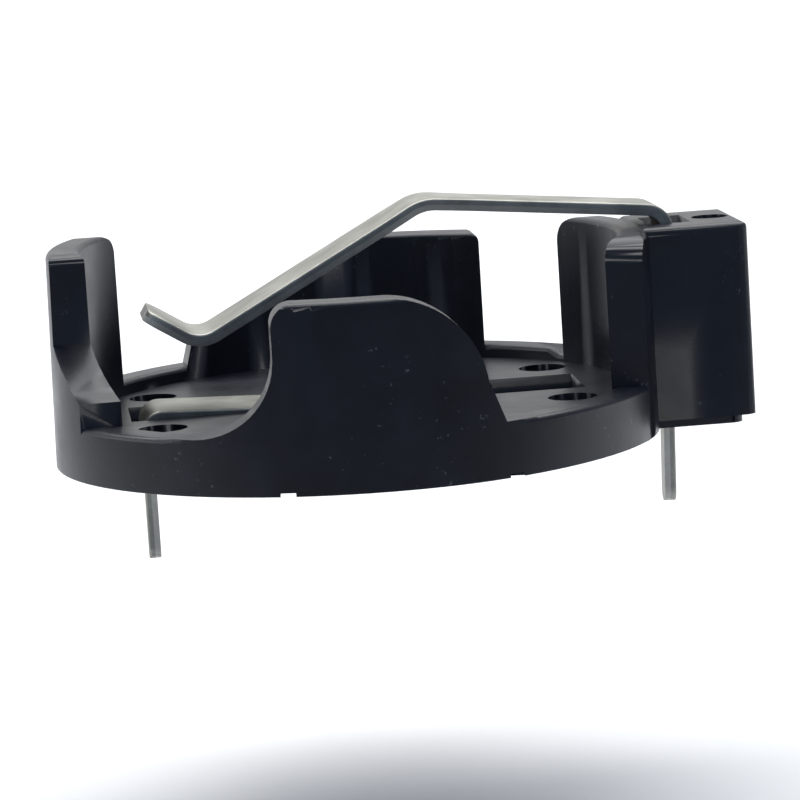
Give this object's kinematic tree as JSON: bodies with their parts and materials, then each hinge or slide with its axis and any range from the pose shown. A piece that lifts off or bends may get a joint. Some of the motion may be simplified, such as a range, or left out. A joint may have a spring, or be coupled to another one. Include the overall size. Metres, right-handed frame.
{
  "type": "coin cell holder",
  "caption": "Round through-hole coin cell holder: a dark plastic dish with upright walls, a sprung top contact from a side tower and a flat contact in its floor.",
  "frame": {"origin": "centre of the round dish, on the face that stands on the circuit board", "axes": "+Z away from the board, +X towards the tower that holds the sprung contact"},
  "size_m": [0.027, 0.0234, 0.0134],
  "materials": {
    "housing_plastic": "moulded, matte",
    "contact_metal": "bright plated spring sheet"
  },
  "bodies": {
    "root": {"housing": "housing_plastic", "positive_contact": "contact_metal", "negative_contact": "contact_metal"}
  },
  "joints": []
}
